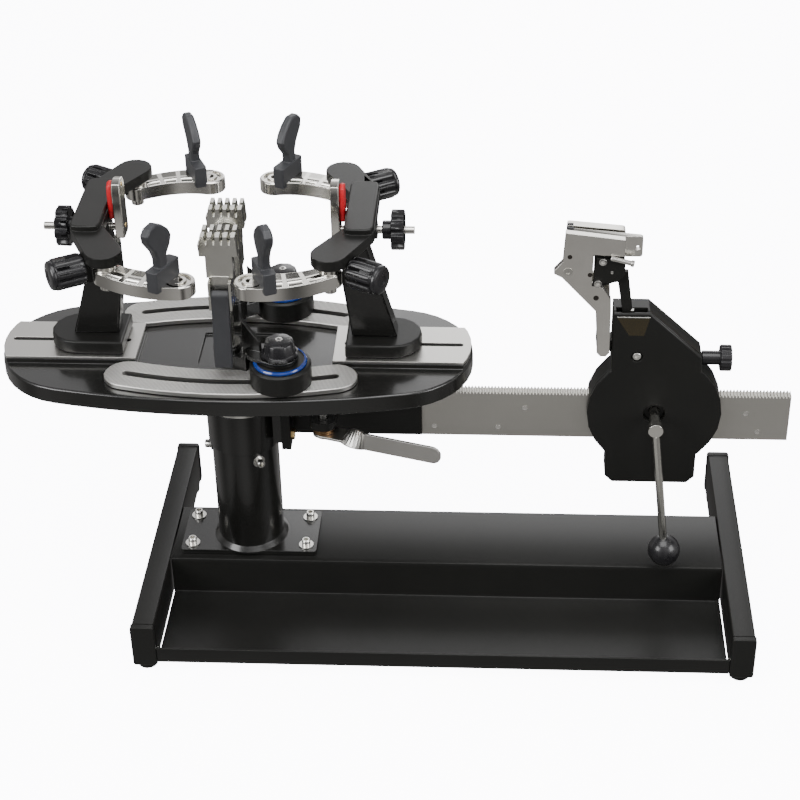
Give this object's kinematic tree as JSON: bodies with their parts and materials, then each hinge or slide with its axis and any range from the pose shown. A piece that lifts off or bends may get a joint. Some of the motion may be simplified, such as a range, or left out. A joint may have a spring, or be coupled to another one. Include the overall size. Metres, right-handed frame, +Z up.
{
  "type": "racket stringing machine",
  "caption": "Tabletop racket stringing machine with turntable, frame supports, gliding string clamps, toothed rail and hand-cranked tension head.",
  "frame": {"origin": "middle of the footprint, on the surface the machine stands on", "axes": "+X along the toothed rail from the turntable to the tension head, +Y to the back, +Z up"},
  "size_m": [0.826, 0.338, 0.518],
  "materials": {
    "painted": "satin charcoal powder coat",
    "black_gloss": "glossy black",
    "black_matte": "matte black coat",
    "cast_silver": "polished casting",
    "steel": "brushed",
    "knurled": "knurled top",
    "chrome": "polished plate",
    "nylon": "matte dark nylon",
    "red_rubber": "matte red pad"
  },
  "bodies": {
    "base": {"rail_left": "painted", "rail_right": "painted", "base_sheet": "painted", "column": "painted", "column_sleeve": "painted", "rail_bracket": "black_matte", "rack_rail": "steel"},
    "brake": {"brake_screw": "steel", "brake_lever": "steel"},
    "turntable": {"turntable_plate": "painted", "guide_strip_left": "steel", "guide_strip_right": "steel", "glide_bar_front": "knurled", "glide_bar_rear": "knurled"},
    "tower_left": {"tower_foot_left": "painted", "tower_post_left": "black_gloss", "yoke_left": "painted"},
    "star_left": {"star_knob_left": "black_gloss"},
    "support_left": {"centre_support_left": "cast_silver", "support_pad_left": "red_rubber"},
    "arm_front_left": {"side_arm_front_left": "cast_silver", "hook_front_left": "nylon"},
    "knob_front_left": {"arm_knob_front_left": "black_gloss"},
    "arm_rear_left": {"side_arm_rear_left": "cast_silver", "hook_rear_left": "nylon"},
    "knob_rear_left": {"arm_knob_rear_left": "black_gloss"},
    "tower_right": {"tower_foot_right": "painted", "tower_post_right": "black_gloss", "yoke_right": "painted"},
    "star_right": {"star_knob_right": "black_gloss"},
    "support_right": {"centre_support_right": "cast_silver", "support_pad_right": "red_rubber"},
    "arm_front_right": {"side_arm_front_right": "cast_silver", "hook_front_right": "nylon"},
    "knob_front_right": {"arm_knob_front_right": "black_gloss"},
    "arm_rear_right": {"side_arm_rear_right": "cast_silver", "hook_rear_right": "nylon"},
    "knob_rear_right": {"arm_knob_rear_right": "black_gloss"},
    "glider_front": {"clamp_base_front": "black_matte"},
    "lock_front": {"lock_knob_front": "black_matte"},
    "swing_front": {"swing_arm_front": "black_matte"},
    "sleeve_front": {"clamp_sleeve_front": "steel"},
    "clamp_front": {"clamp_body_front": "chrome"},
    "lever_front": {"clamp_lever_front": "black_matte"},
    "jaw_front": {"clamp_jaw_front": "chrome"},
    "glider_rear": {"clamp_base_rear": "black_matte"},
    "lock_rear": {"lock_knob_rear": "black_matte"},
    "swing_rear": {"swing_arm_rear": "black_matte"},
    "sleeve_rear": {"clamp_sleeve_rear": "steel"},
    "clamp_rear": {"clamp_body_rear": "chrome"},
    "lever_rear": {"clamp_lever_rear": "black_matte"},
    "jaw_rear": {"clamp_jaw_rear": "chrome"},
    "head": {"head_housing": "painted", "head_cover": "painted"},
    "crank": {"crank_arm": "chrome"},
    "ball": {"crank_ball": "black_gloss"},
    "tension": {"tension_knob": "black_gloss"},
    "gripper": {"gripper_frame": "cast_silver", "gripper_bracket": "black_matte"},
    "gripper_jaw_body": {"gripper_jaw": "cast_silver"}
  },
  "joints": [
    {"name": "turntable_turn", "type": "hinge", "parent": "base", "child": "turntable", "pos_m": [-0.167, -0.005, 0.288], "axis": [0, 0, 1], "continuous": true},
    {"name": "brake_turn", "type": "hinge", "parent": "base", "child": "brake", "pos_m": [-0.076, -0.052, 0.24], "axis": [0, 0, 1], "range_deg": [-40, 10]},
    {"name": "tower_left_slide", "type": "slide", "parent": "turntable", "child": "tower_left", "axis": [-1, 0, 0], "range_m": [-0.006, 0.048]},
    {"name": "star_knob_left_turn", "type": "hinge", "parent": "tower_left", "child": "star_left", "pos_m": [-0.327, -0.005, 0.45], "axis": [-1, 0, 0], "range_deg": [-2880, 0]},
    {"name": "support_left_slide", "type": "slide", "parent": "tower_left", "child": "support_left", "axis": [-1, 0, 0], "range_m": [-0.01, 0]},
    {"name": "arm_front_left_swing", "type": "hinge", "parent": "tower_left", "child": "arm_front_left", "pos_m": [-0.276, -0.093, 0.445], "axis": [0, 0, 1], "range_deg": [-8, 8]},
    {"name": "arm_knob_front_left_turn", "type": "hinge", "parent": "tower_left", "child": "knob_front_left", "pos_m": [-0.2824, -0.08192, 0.451], "axis": [-0.866, -0.5, 0], "range_deg": [-516, 516]},
    {"name": "arm_rear_left_swing", "type": "hinge", "parent": "tower_left", "child": "arm_rear_left", "pos_m": [-0.276, 0.083, 0.445], "axis": [0, 0, -1], "range_deg": [-8, 8]},
    {"name": "arm_knob_rear_left_turn", "type": "hinge", "parent": "tower_left", "child": "knob_rear_left", "pos_m": [-0.2824, 0.07192, 0.451], "axis": [-0.866, 0.5, 0], "range_deg": [-516, 516]},
    {"name": "tower_right_slide", "type": "slide", "parent": "turntable", "child": "tower_right", "axis": [1, 0, 0], "range_m": [-0.006, 0.048]},
    {"name": "star_knob_right_turn", "type": "hinge", "parent": "tower_right", "child": "star_right", "pos_m": [-0.007, -0.005, 0.45], "axis": [1, 0, 0], "range_deg": [-2880, 0]},
    {"name": "support_right_slide", "type": "slide", "parent": "tower_right", "child": "support_right", "axis": [1, 0, 0], "range_m": [-0.01, 0]},
    {"name": "arm_front_right_swing", "type": "hinge", "parent": "tower_right", "child": "arm_front_right", "pos_m": [-0.058, -0.093, 0.445], "axis": [0, 0, -1], "range_deg": [-8, 8]},
    {"name": "arm_knob_front_right_turn", "type": "hinge", "parent": "tower_right", "child": "knob_front_right", "pos_m": [-0.0516, -0.08192, 0.451], "axis": [0.866, -0.5, 0], "range_deg": [-516, 516]},
    {"name": "arm_rear_right_swing", "type": "hinge", "parent": "tower_right", "child": "arm_rear_right", "pos_m": [-0.058, 0.083, 0.445], "axis": [0, 0, 1], "range_deg": [-8, 8]},
    {"name": "arm_knob_rear_right_turn", "type": "hinge", "parent": "tower_right", "child": "knob_rear_right", "pos_m": [-0.0516, 0.07192, 0.451], "axis": [0.866, 0.5, 0], "range_deg": [-516, 516]},
    {"name": "glider_front_glide", "type": "hinge", "parent": "turntable", "child": "glider_front", "pos_m": [-0.167, 0.3515, 0.313], "axis": [0, 0, 1], "range_deg": [-9, 4.8]},
    {"name": "lock_knob_front_turn", "type": "hinge", "parent": "glider_front", "child": "lock_front", "pos_m": [-0.11385, -0.0752, 0.35], "axis": [0, 0, 1], "range_deg": [-90, 90]},
    {"name": "swing_arm_front_swing", "type": "hinge", "parent": "glider_front", "child": "swing_front", "pos_m": [-0.11385, -0.0752, 0.34], "axis": [0, 0, 1], "range_deg": [-12, 10]},
    {"name": "clamp_front_turn", "type": "hinge", "parent": "swing_front", "child": "sleeve_front", "pos_m": [-0.16929, -0.05502, 0.34], "axis": [0, 0, 1], "range_deg": [-60, 20]},
    {"name": "clamp_front_lift", "type": "slide", "parent": "sleeve_front", "child": "clamp_front", "axis": [0, 0, 1], "range_m": [-0.018, 0.006]},
    {"name": "clamp_lever_front_turn", "type": "hinge", "parent": "clamp_front", "child": "lever_front", "pos_m": [-0.16929, -0.07352, 0.414], "axis": [1, 0, 0], "range_deg": [-40, 0]},
    {"name": "clamp_jaw_front_close", "type": "hinge", "parent": "clamp_front", "child": "jaw_front", "pos_m": [-0.16929, -0.06582, 0.402], "axis": [1, 0, 0], "range_deg": [-3.2, 0]},
    {"name": "glider_rear_glide", "type": "hinge", "parent": "turntable", "child": "glider_rear", "pos_m": [-0.167, -0.3615, 0.313], "axis": [0, 0, 1], "range_deg": [-6.3, 10.5]},
    {"name": "lock_knob_rear_turn", "type": "hinge", "parent": "glider_rear", "child": "lock_rear", "pos_m": [-0.12504, 0.06645, 0.35], "axis": [0, 0, 1], "range_deg": [-90, 90]},
    {"name": "swing_arm_rear_swing", "type": "hinge", "parent": "glider_rear", "child": "swing_rear", "pos_m": [-0.12504, 0.06645, 0.34], "axis": [0, 0, 1], "range_deg": [-14, 8]},
    {"name": "clamp_rear_turn", "type": "hinge", "parent": "swing_rear", "child": "sleeve_rear", "pos_m": [-0.17507, 0.03518, 0.34], "axis": [0, 0, 1], "range_deg": [-12, 60]},
    {"name": "clamp_rear_lift", "type": "slide", "parent": "sleeve_rear", "child": "clamp_rear", "axis": [0, 0, 1], "range_m": [0, 0.024]},
    {"name": "clamp_lever_rear_turn", "type": "hinge", "parent": "clamp_rear", "child": "lever_rear", "pos_m": [-0.17507, 0.05368, 0.396], "axis": [-1, 0, 0], "range_deg": [-40, 0]},
    {"name": "clamp_jaw_rear_close", "type": "hinge", "parent": "clamp_rear", "child": "jaw_rear", "pos_m": [-0.17507, 0.04598, 0.384], "axis": [-1, 0, 0], "range_deg": [-3.2, 0]},
    {"name": "head_slide", "type": "slide", "parent": "base", "child": "head", "axis": [1, 0, 0], "range_m": [-0.0125, 0.0875]},
    {"name": "crank_turn", "type": "hinge", "parent": "head", "child": "crank", "pos_m": [0.2695, -0.005, 0.244], "axis": [0, 1, 0], "range_deg": [-180, 1260]},
    {"name": "crank_ball_spin", "type": "hinge", "parent": "crank", "child": "ball", "pos_m": [0.2875, -0.051, 0.08602], "axis": [0.1132, 0, -0.9936], "continuous": true},
    {"name": "tension_knob_turn", "type": "hinge", "parent": "head", "child": "tension", "pos_m": [0.333, -0.005, 0.304], "axis": [1, 0, 0], "range_deg": [-540, 540]},
    {"name": "gripper_tilt", "type": "hinge", "parent": "head", "child": "gripper", "pos_m": [0.2125, -0.005, 0.322], "axis": [0, 1, 0], "range_deg": [-5, 2]},
    {"name": "gripper_close", "type": "slide", "parent": "gripper", "child": "gripper_jaw_body", "axis": [0, -1, 0], "range_m": [0, 0.0042]}
  ],
  "couplings": [
    {"joint": "support_left_slide", "follows": "star_knob_left_turn", "m_per_rad": 0.00019894},
    {"joint": "arm_front_left_swing", "follows": "arm_knob_front_left_turn", "ratio": 0.015504},
    {"joint": "arm_rear_left_swing", "follows": "arm_knob_rear_left_turn", "ratio": 0.015504},
    {"joint": "support_right_slide", "follows": "star_knob_right_turn", "m_per_rad": 0.00019894},
    {"joint": "arm_front_right_swing", "follows": "arm_knob_front_right_turn", "ratio": 0.015504},
    {"joint": "arm_rear_right_swing", "follows": "arm_knob_rear_right_turn", "ratio": 0.015504},
    {"joint": "clamp_jaw_front_close", "follows": "clamp_lever_front_turn", "ratio": 0.08},
    {"joint": "clamp_jaw_rear_close", "follows": "clamp_lever_rear_turn", "ratio": 0.08},
    {"joint": "head_slide", "follows": "crank_turn", "m_per_rad": 0.0039789}
  ]
}
